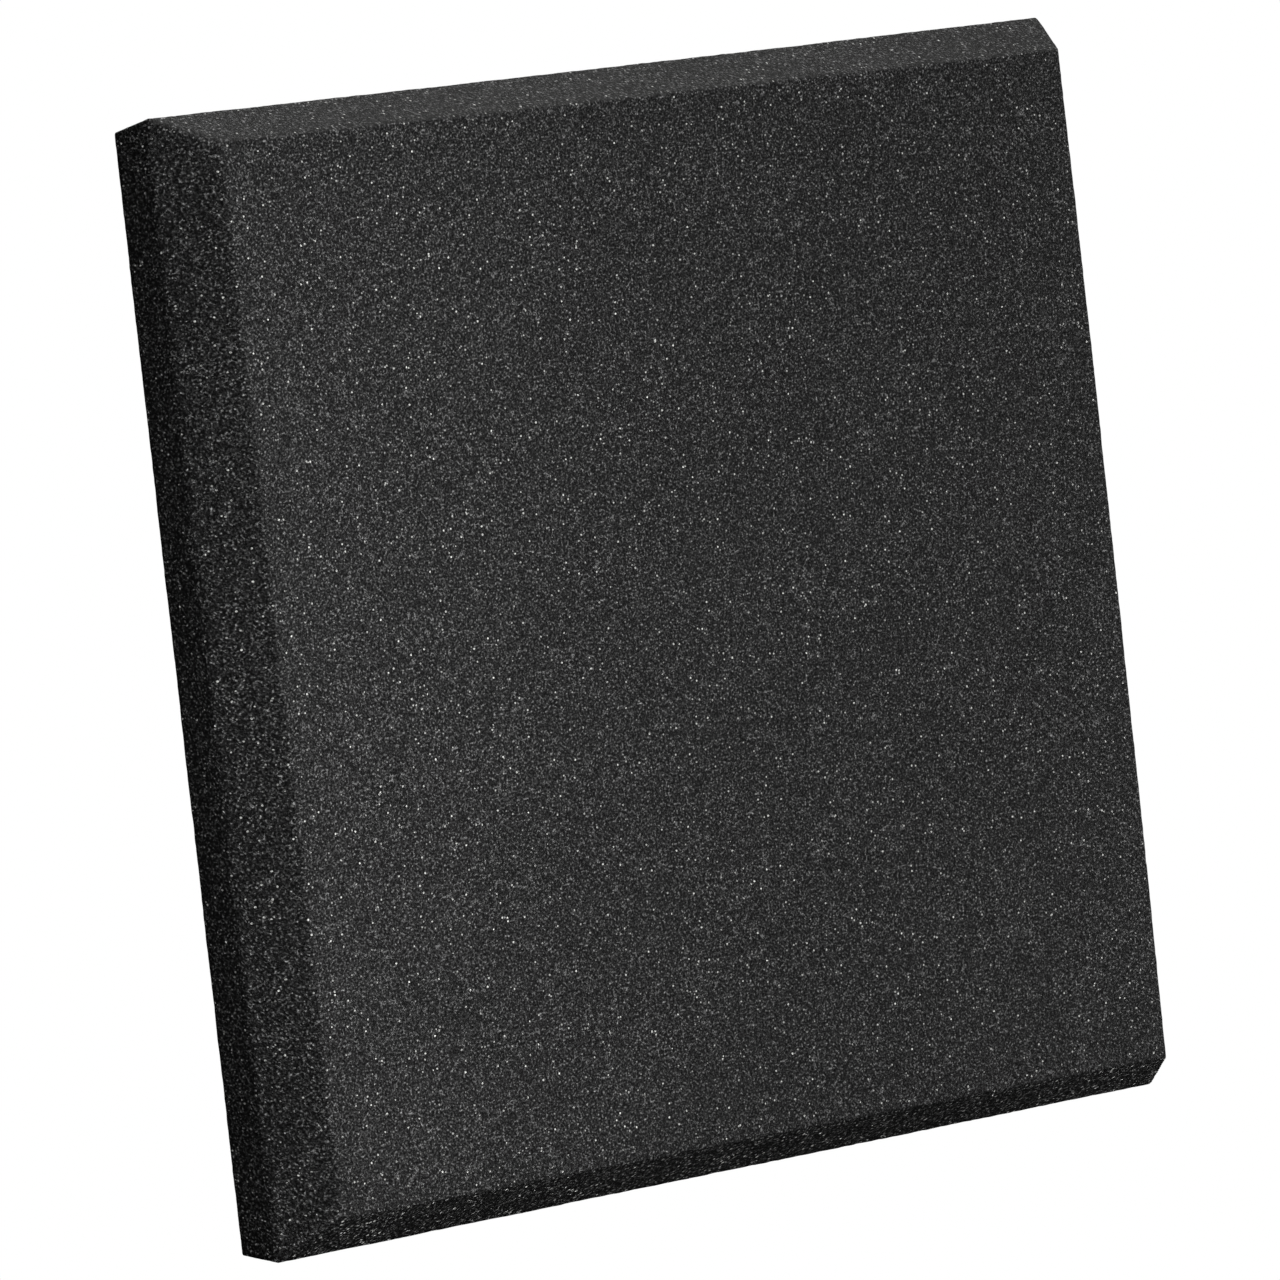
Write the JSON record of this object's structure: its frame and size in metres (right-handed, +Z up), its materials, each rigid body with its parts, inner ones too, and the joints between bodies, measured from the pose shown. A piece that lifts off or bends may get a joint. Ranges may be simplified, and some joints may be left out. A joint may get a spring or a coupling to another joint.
{
  "type": "acoustic foam panel",
  "caption": "Square open-cell foam wall panel with a flat face, bevelled front edges and self-adhesive mounting pads on its back.",
  "frame": {"origin": "centre of the wall plane, on the outside of the centre pad's release liner", "axes": "+Y out of the back, into the wall; +X right as seen from the front; +Z up. The flat face looks along -Y."},
  "size_m": [0.6, 0.0723, 0.6],
  "materials": {
    "charcoal_foam": "blade-cut open-cell polyurethane foam, fully matt",
    "foam_tape": "closed-cell polyethylene foam tape, matt white",
    "release_paper": "siliconised kraft paper, satin"
  },
  "bodies": {
    "root": {"foam_panel": "charcoal_foam", "mounting_pad_top_left": "foam_tape", "mounting_pad_top_right": "foam_tape", "mounting_pad_bottom_left": "foam_tape", "mounting_pad_bottom_right": "foam_tape", "mounting_pad_centre": "foam_tape", "release_liner_top_left": "release_paper", "release_liner_top_right": "release_paper", "release_liner_bottom_left": "release_paper", "release_liner_bottom_right": "release_paper", "release_liner_centre": "release_paper"}
  },
  "joints": []
}
